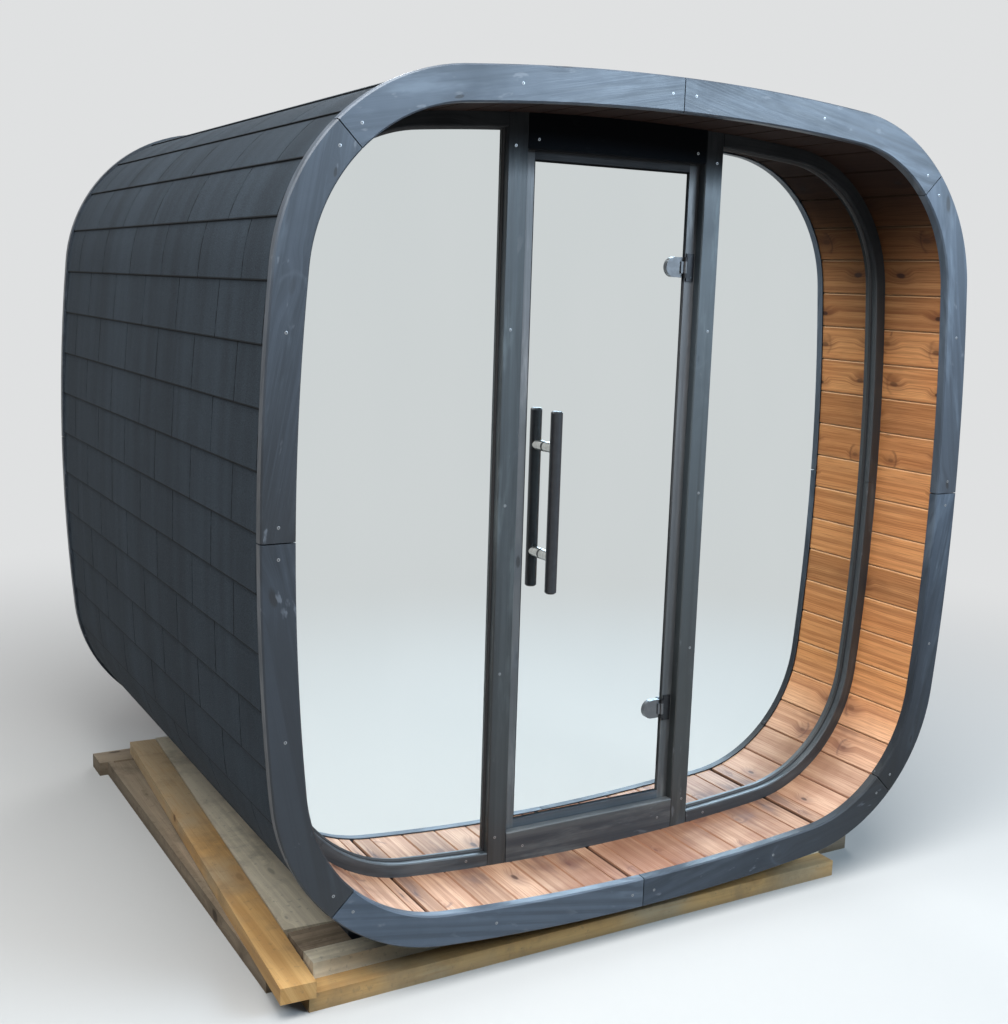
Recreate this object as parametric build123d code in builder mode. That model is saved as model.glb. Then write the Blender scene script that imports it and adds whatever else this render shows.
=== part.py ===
from build123d import *
from math import atan2, cos, degrees, floor, radians, sin, sqrt
import os

# Cube sauna: a bowed-square timber tube with board fascias at both ends, a glass
# front wall set back in a porch, a plain back wall, and a base of ground timbers.
# +Z is up, the front faces -Y, and the origin is on the ground under the middle.

os.makedirs("parts", exist_ok=True)

# Outline of the tube, measured over the fascia boards
outer_size = 2300
side_radius = 6700
corner_radius = 530
body_length = 2170
ground_clearance = 95

# Fascia boards
fascia_width = 88
fascia_thickness = 28
fascia_overhang = 6
edge_break = 4
butt_gap = 3

# Wall panels with their lining boards
lining_step = 4
lining_boards = 68
board_groove = 4
board_groove_depth = 3

# Shingle courses
skin_thickness = 6
shingle_step = 3
course_height = 146.4
course_start = 17
ridge_half_width = 125

# Glass front wall
porch_depth = 260
frame_face = 38
frame_depth = 85
frame_edge_break = 3
frame_butt_gap = 1
glass_thickness = 8
glass_setback = 25
glass_bite = 10
glazing_clearance = 0.5
post_width = 63
door_centre = -13
post_spacing = 596
cover_board_height = 99
cover_board_thickness = 25
cover_board_lap = 12

# Door frame and leaf
door_frame_face = 36
door_frame_setback = 27
leaf_setback = 6
leaf_gap = 6
stop_gap = 5
stop_lap = 10

# Hinges
hinge_height = 672
hinge_barrel = 12
hinge_pin = 5
pin_clearance = 0.08
knuckle_gap = 0.5
moving_knuckle = 34
fixed_knuckle = 12
clamp_size = 58
clamp_thickness = 8
inner_clamp_width = 40
wall_plate_height = 80
wall_plate_width = 26
wall_plate_thickness = 4
notch_height = 30
notch_depth = 36
notch_clearance = 1

# Handles
handle_length = 520
handle_diameter = 34
handle_inset = 64
handle_standoff = 38
standoff_diameter = 30
standoff_upper = 160
standoff_lower = -150
handle_hole_diameter = 14
handle_bolt_diameter = 10

# Back wall
back_recess = 60
back_wall_thickness = 45
back_wall_boards = 18

# Base timbers: heights of the two layers, and each timber's width
lower_timber = 50
upper_timber = 45
seat_gap = 0.3
front_beam_setback = 60
front_beam_width = 67
front_plank_width = 70
front_sleeper_width = 118
rear_sleeper_width = 110
rear_sleeper_setback = 145
rear_sleeper_overhang = 50
base_left_inset = 104
base_right_inset = 160
front_left_inset = 150
front_right_inset = 350
front_plank_gap = 17
edging_thickness = 20
edging_height = 50
left_sleeper_width = 183
left_sleeper_height = 44
skewed_plank_width = 95
skewed_plank_length = 1930
skewed_plank_angle = 3.4
skewed_plank_inset = 171
upper_sleeper_width = 200
upper_sleeper_length = 1650
upper_sleeper_gap = 4
cradle_width = 85
cradle_clearance = 1
front_cradle_reach = 820
front_block_drop = 3
rear_cradle_reach = 660

# Values worked out from the sizes above
half_size = outer_size / 2
front_y = -body_length / 2
centre_height = ground_clearance + half_size
side_centre = half_size - side_radius
reach = side_radius - corner_radius
corner_offset = (side_centre + sqrt(2 * reach**2 - side_centre**2)) / 2
side_swing = degrees(atan2(corner_offset, corner_offset - side_centre))
skin_inset = fascia_overhang
wall_inset = skin_inset + skin_thickness
lining_inset = fascia_width - lining_step
tube_length = body_length - 2 * fascia_thickness
frame_inset = lining_inset + frame_face
cover_board_edge = half_size - lining_inset - cover_board_height
door_half_height = cover_board_edge + cover_board_lap - door_frame_face
post_left = door_centre - post_spacing / 2
post_right = door_centre + post_spacing / 2
frame_back = porch_depth + frame_depth
glass_front = porch_depth + glass_setback
door_frame_front = porch_depth + door_frame_setback
leaf_front = door_frame_front + leaf_setback
leaf_back = leaf_front + glass_thickness
stop_front = leaf_back + stop_gap
daylight_left = post_left + door_frame_face
daylight_right = post_right - door_frame_face
leaf_left = daylight_left + leaf_gap
leaf_right = daylight_right - leaf_gap
leaf_half_height = door_half_height - leaf_gap
hinge_x = (leaf_right + daylight_right) / 2
hinge_depth = door_frame_front - hinge_barrel / 2
handle_x = leaf_left + handle_inset


def arc_at(angle):
    """Centre and radius of the outline's arc whose normal points at this angle."""
    side = round(angle / 90)
    if abs(angle - 90 * side) <= side_swing:
        turn = radians(90 * side)
        return side_centre * cos(turn), side_centre * sin(turn), side_radius
    turn = radians(90 * floor(angle / 90) + 45)
    far = corner_offset * sqrt(2)
    return far * cos(turn), far * sin(turn), corner_radius


def outline_point(angle, inset):
    """Point of the outline moved in by inset, where its normal has this angle."""
    x, z, radius = arc_at(angle)
    turn = radians(angle)
    return (x + (radius - inset) * cos(turn), z + (radius - inset) * sin(turn))


def trace(start, stop, inset):
    """Draw the outline's arcs between two normal angles."""
    breaks = [90 * k + side_swing * s for k in range(-2, 6) for s in (-1, 1)]
    stops = [start] + sorted(b for b in breaks if start + 1e-6 < b < stop - 1e-6) + [stop]
    for low, high in zip(stops, stops[1:]):
        x, z, radius = arc_at((low + high) / 2)
        CenterArc((x, z), radius - inset, low, high - low)


def whole_outline(inset, mode=Mode.ADD):
    """Face inside the whole outline moved in by inset."""
    with BuildLine() as edge:
        trace(-side_swing, 360 - side_swing, inset)
    make_face(edge.edges(), mode=mode)


def band(start, stop, outer_inset, inner_inset):
    """Face between two insets of the outline, from one normal angle to another."""
    with BuildLine() as edge:
        trace(start, stop, outer_inset)
        trace(start, stop, inner_inset)
        Line(outline_point(start, outer_inset), outline_point(start, inner_inset))
        Line(outline_point(stop, outer_inset), outline_point(stop, inner_inset))
    make_face(edge.edges())


def angle_at(distance, inset):
    """Normal angle at a distance along the outline, up from the middle of the right side."""
    side_run = radians(2 * side_swing) * (side_radius - inset)
    corner_run = radians(90 - 2 * side_swing) * (corner_radius - inset)
    quarter, along = divmod(distance + side_run / 2, side_run + corner_run)
    if along < side_run:
        return 90 * quarter - side_swing + degrees(along / (side_radius - inset))
    return 90 * quarter + side_swing + degrees((along - side_run) / (corner_radius - inset))


def quarter_run(inset):
    """Length of a quarter of the outline."""
    side_run = radians(2 * side_swing) * (side_radius - inset)
    return side_run + radians(90 - 2 * side_swing) * (corner_radius - inset)


def section(depth):
    """Upright plane at a depth behind the front face. Its normal points forward."""
    return Plane(origin=(0, front_y + depth, centre_height), x_dir=(1, 0, 0), z_dir=(0, -1, 0))


def rectangle(left, right, low, high, mode=Mode.ADD):
    with Locations(((left + right) / 2, (low + high) / 2)):
        Rectangle(right - left, high - low, mode=mode)


def save(piece, label):
    piece.part.label = label
    export_step(piece.part, f"parts/{label}.step")


# Fascia boards: eight at each end, butted at the corners and at mid side
octants = {
    "right_upper": (0, 45),
    "top_right": (45, 90),
    "top_left": (90, 135),
    "left_upper": (135, 180),
    "left_lower": (180, 225),
    "bottom_left": (225, 270),
    "bottom_right": (270, 315),
    "right_lower": (315, 360),
}


def end_trims(start, stop, gap, inset):
    """Half of a gap between boards, as an angle of the outline's normal at either end."""
    side_trim = degrees(gap / 2 / (side_radius - inset))
    corner_trim = degrees(gap / 2 / (corner_radius - inset))
    return [side_trim if angle % 90 == 0 else corner_trim for angle in (start, stop)]


def fascia_board(start, stop, depth, end):
    """One board of a fascia ring. The end faces forward at the front, or back."""
    trims = end_trims(start, stop, butt_gap, 0)
    with BuildPart() as board:
        with BuildSketch(section(depth + fascia_thickness)):
            band(start + trims[0], stop - trims[1], 0, fascia_width)
        extrude(amount=fascia_thickness)
        face = board.faces().sort_by(Axis.Y)[0 if end == "front" else -1]
        chamfer(face.edges().filter_by(GeomType.CIRCLE), edge_break)
    return board


for name, (start, stop) in octants.items():
    save(fascia_board(start, stop, 0, "front"), f"front_fascia_{name}")

back_depth = body_length - fascia_thickness
back_boards = [fascia_board(*octants[name], back_depth, "back").part for name in octants]
with BuildPart() as back_fascia:
    add(back_boards)
save(back_fascia, "back_fascia")


# Wall panels: four bowed panels and four round corners, grooved as lining boards
def wall_panel(start, stop):
    pitch = 4 * quarter_run(lining_inset) / lining_boards
    spread = board_groove / 2
    with BuildPart() as panel:
        with BuildSketch(section(fascia_thickness + tube_length)):
            band(start, stop, wall_inset, lining_inset)
            for board in range(lining_boards):
                middle = (board + 0.5) * pitch
                angle = angle_at(middle, lining_inset)
                low = angle_at(middle - spread, lining_inset)
                high = angle_at(middle + spread, lining_inset)
                for turn in (-360, 0):
                    if start < low + turn and high + turn < stop:
                        with BuildLine():
                            Polyline(
                                outline_point(low, lining_inset + 0.5),
                                outline_point(high, lining_inset + 0.5),
                                outline_point(angle, lining_inset - board_groove_depth),
                                close=True,
                            )
                        make_face(mode=Mode.SUBTRACT)
        extrude(amount=tube_length)
    return panel


panels = ("wall_right", "roof", "wall_left", "floor")
corners = ("corner_top_right", "corner_top_left", "corner_bottom_left", "corner_bottom_right")
for quarter in range(4):
    turn = 90 * quarter
    save(wall_panel(turn - side_swing, turn + side_swing), panels[quarter])
    save(wall_panel(turn + side_swing, turn + 90 - side_swing), corners[quarter])


# Shingle skin: courses that each step out over the one above
def shingle_profile(first, last, end_distance):
    """Sawtooth profile of the courses from first up to last, on the right-hand side."""
    edges = [course_start + k * course_height for k in range(first, last)]
    edges = edges + [end_distance]
    base = skin_inset + skin_thickness
    with BuildLine() as outline:
        for low, high in zip(edges, edges[1:]):
            angles = [angle_at(d, skin_inset) for d in (low, (low + high) / 2, high)]
            ThreePointArc(
                outline_point(angles[0], skin_inset),
                outline_point(angles[1], skin_inset + shingle_step / 2),
                outline_point(angles[2], skin_inset + shingle_step),
            )
            if high != edges[-1]:
                Line(outline_point(angles[2], skin_inset + shingle_step), outline_point(angles[2], skin_inset))
        start = angle_at(edges[0], skin_inset)
        stop = angle_at(edges[-1], skin_inset)
        Line(outline_point(start, skin_inset), outline_point(start, base))
        Line(outline_point(stop, skin_inset + shingle_step), outline_point(stop, base))
        trace(start, stop, base)
    make_face(outline.edges())


flat_start = quarter_run(skin_inset) - radians(side_swing) * (side_radius - skin_inset)
roof_course = int((flat_start - course_start) // course_height)
lowest_course = -1 - int((flat_start + course_start) // course_height)
roof_edge = course_start + roof_course * course_height
eaves_edge = course_start + lowest_course * course_height
ridge = quarter_run(skin_inset)
with BuildPart() as shingles_right:
    with BuildSketch(section(fascia_thickness + tube_length)):
        shingle_profile(lowest_course, roof_course, roof_edge)
    extrude(amount=tube_length)
save(shingles_right, "shingles_right")

with BuildPart() as shingles_left:
    mirror(shingles_right.part, about=Plane.YZ)
save(shingles_left, "shingles_left")

ridge_courses = int((ridge - roof_edge) // course_height) + 1
with BuildPart() as shingles_roof:
    with BuildSketch(section(fascia_thickness + tube_length)):
        shingle_profile(roof_course, roof_course + ridge_courses, ridge)
    extrude(amount=tube_length)
    with BuildSketch(section(fascia_thickness + tube_length)):
        band(angle_at(ridge - ridge_half_width, skin_inset), 90, skin_inset, wall_inset)
    extrude(amount=tube_length)
    mirror(about=Plane.YZ)
save(shingles_roof, "shingles_roof")

with BuildPart() as underlay:
    with BuildSketch(section(fascia_thickness + tube_length)):
        eaves = angle_at(eaves_edge, skin_inset)
        band(-180 - eaves, eaves, skin_inset, wall_inset)
    extrude(amount=tube_length)
save(underlay, "underlay_bottom")


# Frame of the glass wall: ring boards scribed to the lining and cut round the posts
def glass_groove():
    """Groove in the open edge of a frame board that the fixed glass stands in."""
    groove_depth = glass_front + glass_thickness + glazing_clearance
    with BuildSketch(section(groove_depth)) as groove:
        whole_outline(frame_inset - glass_bite - glazing_clearance)
    extrude(groove.sketch, amount=glass_thickness + 2 * glazing_clearance, mode=Mode.SUBTRACT)


def frame_board(start, stop):
    trims = end_trims(start, stop, frame_butt_gap, lining_inset)
    with BuildPart() as board:
        with BuildSketch(section(frame_back)):
            band(start + trims[0], stop - trims[1], lining_inset, frame_inset)
            rectangle(
                post_left - post_width,
                post_right + post_width,
                -half_size,
                half_size,
                mode=Mode.SUBTRACT,
            )
        extrude(amount=frame_depth)
        rims = board.faces().sort_by(Axis.Y)[0].edges().filter_by(GeomType.CIRCLE)
        radii = (side_radius - frame_inset, corner_radius - frame_inset)
        chamfer([rim for rim in rims if min(abs(rim.radius - r) for r in radii) < 1], frame_edge_break)
        glass_groove()
    return board


for side, members in {
    "right_upper": ("right_upper", "top_right"),
    "left_upper": ("left_upper", "top_left"),
    "left_lower": ("left_lower", "bottom_left"),
    "right_lower": ("right_lower", "bottom_right"),
}.items():
    boards = [frame_board(*octants[name]).part for name in members]
    with BuildPart() as glass_frame:
        add(boards)
    save(glass_frame, f"glass_frame_{side}")


def post(inner, outer):
    """Post from floor to roof lining, grooved for the fixed glass on its outer side."""
    groove_end = outer + (glass_bite + glazing_clearance) * (-1 if outer > inner else 1)
    groove_depth = glass_front + glass_thickness + glazing_clearance
    with BuildPart() as upright:
        with BuildSketch(section(frame_back)):
            whole_outline(lining_inset)
            rectangle(min(inner, outer), max(inner, outer), -half_size, half_size, mode=Mode.INTERSECT)
        extrude(amount=frame_depth)
        chamfer(upright.faces().sort_by(Axis.Y)[0].edges().filter_by(Axis.Z), frame_edge_break)
        with BuildSketch(section(groove_depth)):
            rectangle(min(groove_end, outer), max(groove_end, outer), -half_size, half_size)
        extrude(amount=glass_thickness + 2 * glazing_clearance, mode=Mode.SUBTRACT)
    return upright


save(post(post_left, post_left - post_width), "post_left")
save(post(post_right, post_right + post_width), "post_right")


def cover_board(sign):
    """Header (sign 1) or kick board (sign -1): a front lip lapped over the door frame."""
    lip = cover_board_edge * sign
    back = (door_half_height + door_frame_face + glazing_clearance) * sign
    far = half_size * sign
    with BuildPart() as board:
        with BuildSketch(section(porch_depth + cover_board_thickness)):
            whole_outline(lining_inset)
            rectangle(post_left, post_right, min(lip, far), max(lip, far), mode=Mode.INTERSECT)
        extrude(amount=cover_board_thickness)
        with BuildSketch(section(frame_back)):
            whole_outline(lining_inset)
            rectangle(post_left, post_right, min(back, far), max(back, far), mode=Mode.INTERSECT)
        extrude(amount=frame_depth - cover_board_thickness)
        bevel = board.faces().sort_by(Axis.Y)[0].edges().filter_by(Axis.X)
        chamfer(bevel.sort_by(Axis.Z)[0 if sign > 0 else -1], frame_edge_break)
    return board


save(cover_board(1), "door_header")
save(cover_board(-1), "door_kick_board")

# Fixed glass, standing in the grooves of ring and post
panel_inset = frame_inset - glass_bite
for side, inner, outer in (
    ("right", post_right + post_width - glass_bite, half_size),
    ("left", -half_size, post_left - post_width + glass_bite),
):
    with BuildPart() as glass_panel:
        with BuildSketch(section(glass_front + glass_thickness)):
            whole_outline(panel_inset)
            rectangle(inner, outer, -half_size, half_size, mode=Mode.INTERSECT)
        extrude(amount=glass_thickness)
    save(glass_panel, f"glass_panel_{side}")


# Door frame: rebated jambs, head and sill
def plan(height):
    """Level plane at a height above the tube's middle."""
    return Plane.XY.offset(centre_height + height)


frame_top = door_half_height + door_frame_face
with BuildPart() as door_jambs:
    for outer, toward in ((post_left, 1), (post_right, -1)):
        inner = outer + toward * door_frame_face
        stop = inner + toward * (leaf_gap + stop_lap)
        front = front_y + door_frame_front
        rebate = front_y + stop_front
        back = front_y + frame_back
        with BuildSketch(plan(-frame_top)):
            with BuildLine():
                Polyline(
                    (outer, front),
                    (inner, front),
                    (inner, rebate),
                    (stop, rebate),
                    (stop, back),
                    (outer, back),
                    close=True,
                )
            make_face()
        extrude(amount=2 * frame_top)
save(door_jambs, "door_jambs")

with BuildPart() as door_head_sill:
    for sign in (1, -1):
        inner = sign * door_half_height
        stop = inner - sign * (leaf_gap + stop_lap)
        outer = sign * frame_top
        with BuildSketch(section(stop_front)):
            rectangle(daylight_left, daylight_right, min(inner, outer), max(inner, outer))
        extrude(amount=stop_front - door_frame_front)
        with BuildSketch(section(frame_back)):
            rectangle(
                daylight_left + leaf_gap + stop_lap,
                daylight_right - leaf_gap - stop_lap,
                min(stop, outer),
                max(stop, outer),
            )
        extrude(amount=frame_back - stop_front)
save(door_head_sill, "door_head_and_sill")

# Door leaf: one sheet of glass, notched for the hinges and drilled for the handle
with BuildPart() as door_glass:
    with BuildSketch(section(leaf_back)):
        rectangle(leaf_left, leaf_right, -leaf_half_height, leaf_half_height)
        for height in (hinge_height, -hinge_height):
            rectangle(
                leaf_right - notch_depth,
                leaf_right,
                height - notch_height / 2,
                height + notch_height / 2,
                mode=Mode.SUBTRACT,
            )
        with Locations((handle_x, standoff_upper), (handle_x, standoff_lower)):
            Circle(handle_hole_diameter / 2, mode=Mode.SUBTRACT)
    extrude(amount=glass_thickness)
save(door_glass, "door_glass")


# Hinges: D-shaped clamps on the leaf, plates on the jamb, and a pin between them
def clamp_outline(right, width, height):
    radius = clamp_size / 2
    left = right - width
    rectangle(left + radius if width > radius else left, right, height - radius, height + radius)
    if width > radius:
        with Locations((left + radius, height)):
            Circle(radius)
        rectangle(right, right + clamp_size, height - radius, height + radius, mode=Mode.SUBTRACT)


knuckle_edge = hinge_x - hinge_barrel / 2 - knuckle_gap
inner_clamp_edge = daylight_right - leaf_gap - stop_lap - leaf_gap
with BuildPart() as hinge_clamps:
    for height in (hinge_height, -hinge_height):
        with BuildSketch(section(leaf_front)):
            clamp_outline(knuckle_edge, clamp_size, height)
        extrude(amount=clamp_thickness)
        with BuildSketch(section(leaf_back + clamp_thickness)):
            clamp_outline(inner_clamp_edge, inner_clamp_width, height)
        extrude(amount=clamp_thickness)
        with BuildSketch(section(leaf_back)):
            rectangle(
                leaf_right - notch_depth + notch_clearance,
                knuckle_edge,
                height - notch_height / 2 + notch_clearance,
                height + notch_height / 2 - notch_clearance,
            )
        extrude(amount=glass_thickness)
        with BuildSketch(plan(height - moving_knuckle / 2)):
            with Locations((hinge_x, front_y + hinge_depth)):
                Circle(hinge_barrel / 2)
            web_back = front_y + leaf_front
            web_front = front_y + hinge_depth
            rectangle(knuckle_edge - clamp_thickness, hinge_x, web_front, web_back)
            with Locations((hinge_x, front_y + hinge_depth)):
                Circle(hinge_pin / 2 + pin_clearance, mode=Mode.SUBTRACT)
        extrude(amount=moving_knuckle)
save(hinge_clamps, "door_hinge_clamps")

barrel_half = moving_knuckle / 2 + knuckle_gap + fixed_knuckle
with BuildPart() as hinge_plates:
    for height in (hinge_height, -hinge_height):
        plate_left = hinge_x + hinge_barrel / 2 + knuckle_gap
        with BuildSketch(section(door_frame_front)):
            rectangle(
                plate_left,
                plate_left + wall_plate_width,
                height - wall_plate_height / 2,
                height + wall_plate_height / 2,
            )
        extrude(amount=wall_plate_thickness)
        for low in (height - barrel_half, height + barrel_half - fixed_knuckle):
            with BuildSketch(plan(low)):
                with Locations((hinge_x, front_y + hinge_depth)):
                    Circle(hinge_barrel / 2)
                rectangle(
                    hinge_x,
                    plate_left + wall_plate_thickness,
                    front_y + door_frame_front - wall_plate_thickness,
                    front_y + door_frame_front,
                )
            extrude(amount=fixed_knuckle)
        with BuildSketch(plan(height - barrel_half)):
            with Locations((hinge_x, front_y + hinge_depth)):
                Circle(hinge_pin / 2)
        extrude(amount=2 * barrel_half)
save(hinge_plates, "door_hinge_plates")

# Handles: a round bar on each face, held off the glass by bolted metal sleeves
outer_bar_depth = leaf_front - handle_standoff - handle_diameter / 2
inner_bar_depth = leaf_back + handle_standoff + handle_diameter / 2
with BuildPart() as handle_bars:
    for depth in (outer_bar_depth, inner_bar_depth):
        with BuildSketch(plan((standoff_upper + standoff_lower) / 2 - handle_length / 2)):
            with Locations((handle_x, front_y + depth)):
                Circle(handle_diameter / 2)
        extrude(amount=handle_length)
    ends = handle_bars.faces().filter_by(Axis.Z).edges()
    chamfer(ends, edge_break)
save(handle_bars, "door_handle_bars")

with BuildPart() as handle_standoffs:
    for height in (standoff_upper, standoff_lower):
        for back in (leaf_front, inner_bar_depth):
            with BuildSketch(section(back)):
                with Locations((handle_x, height)):
                    Circle(standoff_diameter / 2)
            extrude(amount=handle_standoff + handle_diameter / 2)
        with BuildSketch(section(leaf_back)):
            with Locations((handle_x, height)):
                Circle(handle_bolt_diameter / 2)
        extrude(amount=glass_thickness)
    for depth in (outer_bar_depth, inner_bar_depth):
        with BuildSketch(plan(-handle_length)):
            with Locations((handle_x, front_y + depth)):
                Circle(handle_diameter / 2)
        extrude(amount=2 * handle_length, mode=Mode.SUBTRACT)
save(handle_standoffs, "door_handle_standoffs")

# Back wall: one board panel inside the tube, with a groove at each board joint
back_wall_depth = body_length - back_recess
with BuildPart() as back_wall:
    with BuildSketch(section(back_wall_depth)):
        whole_outline(lining_inset)
    extrude(amount=back_wall_thickness)
    inner_width = 2 * (half_size - lining_inset)
    board_width = inner_width / back_wall_boards
    for face in (0, back_wall_thickness):
        with BuildSketch(plan(-half_size)):
            for joint in range(1, back_wall_boards):
                x = -inner_width / 2 + joint * board_width
                y = front_y + back_wall_depth - face
                inward = -board_groove_depth if face == 0 else board_groove_depth
                with BuildLine():
                    Polyline(
                        (x - board_groove / 2, y),
                        (x + board_groove / 2, y),
                        (x, y + inward),
                        close=True,
                    )
                make_face()
        extrude(amount=outer_size, mode=Mode.SUBTRACT)
save(back_wall, "back_wall")


# Base timbers on the ground, in two layers, with cradles shaped to the shell
def timber(left, right, front, back, low, high):
    with BuildSketch(Plane.XY.offset(low)) as footprint:
        rectangle(left, right, front_y + front, front_y + back)
    extrude(footprint.sketch, amount=high - low)


second_layer = lower_timber + upper_timber
base_left = -half_size + base_left_inset
base_right = half_size - base_right_inset
front_left = -half_size + front_left_inset
front_right = half_size - front_right_inset
beam_back = front_beam_setback + front_beam_width
plank_front = beam_back + seat_gap
plank_back = plank_front + front_plank_width
sleeper_back = plank_back + seat_gap + front_sleeper_width
rear_front = body_length - rear_sleeper_setback - rear_sleeper_width
middle_front = (sleeper_back + rear_front - rear_sleeper_width) / 2
left_sleeper_right = base_left + left_sleeper_width
skew = radians(skewed_plank_angle)
plank_centre = front_beam_setback - 20 + skewed_plank_length / 2
plank_middle = (skewed_plank_inset - half_size, front_y + plank_centre)
skewed_edge = plank_middle[0] + (skewed_plank_width / 2 - (plank_centre - plank_back) * sin(skew)) / cos(skew)
block_left = skewed_edge + front_plank_gap
block_right = -front_cradle_reach - seat_gap
with BuildPart() as base_cross_sleepers:
    timber(front_left + 1, front_right - 1, plank_front, plank_back - 1, 0, lower_timber)
    timber(base_left, base_right, plank_back + seat_gap, sleeper_back, 0, lower_timber)
    block_top = second_layer - front_block_drop
    block_low = lower_timber + seat_gap
    timber(block_left, block_right, plank_back + seat_gap, sleeper_back, block_low, block_top)
    for front in (middle_front, rear_front):
        start = base_left - rear_sleeper_overhang if front == rear_front else left_sleeper_right + seat_gap
        timber(start, base_right, front, front + rear_sleeper_width, 0, lower_timber)
save(base_cross_sleepers, "base_cross_sleepers")

with BuildPart() as base_beam_front:
    timber(front_left, front_right, front_beam_setback, beam_back, 0, lower_timber)
save(base_beam_front, "base_beam_front")

with BuildPart() as base_timbers_left:
    start = sleeper_back + seat_gap
    stop = rear_front - seat_gap
    edging_right = base_left - seat_gap
    timber(base_left, left_sleeper_right, start, stop, 0, left_sleeper_height)
    timber(edging_right - edging_thickness, edging_right, plank_back, stop, 0, edging_height)
save(base_timbers_left, "base_timbers_left")

with BuildPart() as base_plank_left:
    with BuildSketch(Plane.XY.offset(lower_timber)):
        with Locations(Location(plank_middle, -skewed_plank_angle)):
            Rectangle(skewed_plank_width, skewed_plank_length)
    extrude(amount=upper_timber)
save(base_plank_left, "base_plank_left")

sleeper_shift = (skewed_plank_width + upper_sleeper_width) / 2 + upper_sleeper_gap
sleeper_front = sleeper_back + seat_gap
skew_drop = (sleeper_shift + upper_sleeper_width / 2) * sin(skew)
sleeper_slide = sleeper_front + skew_drop + upper_sleeper_length / 2 - plank_centre
with BuildPart() as base_sleepers_upper:
    with BuildSketch(Plane.XY.offset(lower_timber)):
        with Locations(Location(plank_middle, -skewed_plank_angle)):
            with Locations((sleeper_shift, sleeper_slide)):
                Rectangle(upper_sleeper_width, upper_sleeper_length)
    extrude(amount=upper_timber)
    right = base_right - 20
    stop = sleeper_front + upper_sleeper_length
    timber(right - upper_sleeper_width, right, sleeper_front, stop, lower_timber, second_layer)
save(base_sleepers_upper, "base_sleepers_upper")

with BuildPart() as base_plank_front:
    timber(block_left, front_right, plank_front, plank_back, lower_timber, second_layer)
save(base_plank_front, "base_plank_front")


def cradle(front, reach):
    """Bearer that stands on a cross sleeper, shaped to the shell above it."""
    with BuildPart() as bearer:
        with BuildSketch(section(front + cradle_width)):
            rectangle(-reach, reach, lower_timber - centre_height, -half_size / 2)
            whole_outline(skin_inset - cradle_clearance, Mode.SUBTRACT)
        extrude(amount=cradle_width)
    return bearer.part


cradle_fronts = (sleeper_back - seat_gap - cradle_width, middle_front + 10, rear_front + 10)
cradle_reaches = (front_cradle_reach, rear_cradle_reach, rear_cradle_reach)
cradles = [cradle(front, reach) for front, reach in zip(cradle_fronts, cradle_reaches)]
with BuildPart() as base_cradles:
    add(cradles)
save(base_cradles, "base_cradles")
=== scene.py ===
import bpy
import bmesh
import math
from mathutils import Matrix, Vector


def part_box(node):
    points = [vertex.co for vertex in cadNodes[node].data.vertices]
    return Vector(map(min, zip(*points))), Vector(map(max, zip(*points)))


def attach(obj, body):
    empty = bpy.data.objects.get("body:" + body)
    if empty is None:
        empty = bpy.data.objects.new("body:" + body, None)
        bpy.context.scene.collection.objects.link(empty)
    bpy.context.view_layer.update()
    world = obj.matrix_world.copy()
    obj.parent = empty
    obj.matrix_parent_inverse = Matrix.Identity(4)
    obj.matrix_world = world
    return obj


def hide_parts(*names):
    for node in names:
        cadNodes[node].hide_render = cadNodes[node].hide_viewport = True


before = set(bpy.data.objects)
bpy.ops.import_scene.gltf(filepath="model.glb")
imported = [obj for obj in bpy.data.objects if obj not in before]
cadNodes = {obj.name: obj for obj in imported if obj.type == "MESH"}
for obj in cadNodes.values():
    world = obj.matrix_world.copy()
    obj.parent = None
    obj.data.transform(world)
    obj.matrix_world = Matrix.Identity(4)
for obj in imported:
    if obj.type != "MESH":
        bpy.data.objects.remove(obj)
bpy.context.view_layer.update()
scene = bpy.context.scene
scene.view_settings.view_transform = "Standard"
print("stage: frame loaded,", len(cadNodes), "nodes")


# Lowest and highest corner of a CAD node, to a tenth of a millimetre
def nodeBox(node):
    return [[round(c, 4) for c in corner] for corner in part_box(node)]


# One wrapped socket. Maths on values is written as expressions.
class Wire:
    def __init__(self, net, socket):
        self.net = net
        self.socket = socket

    def __add__(self, other):
        return self.net.maths("ADD", self, other)

    def __radd__(self, other):
        return self.net.maths("ADD", other, self)

    def __sub__(self, other):
        return self.net.maths("SUBTRACT", self, other)

    def __rsub__(self, other):
        return self.net.maths("SUBTRACT", other, self)

    def __mul__(self, other):
        return self.net.maths("MULTIPLY", self, other)

    def __rmul__(self, other):
        return self.net.maths("MULTIPLY", other, self)

    def __truediv__(self, other):
        return self.net.maths("DIVIDE", self, other)

    def __pow__(self, other):
        return self.net.maths("POWER", self, other)

    def __gt__(self, other):
        return self.net.maths("GREATER_THAN", self, other)

    def __lt__(self, other):
        return self.net.maths("LESS_THAN", self, other)

    def clamp(self):
        return self.net.add("ShaderNodeClamp", {}, {"Value": self})

    def size(self):
        return self.net.maths("ABSOLUTE", self)

    def floor(self):
        return self.net.maths("FLOOR", self)


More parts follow.
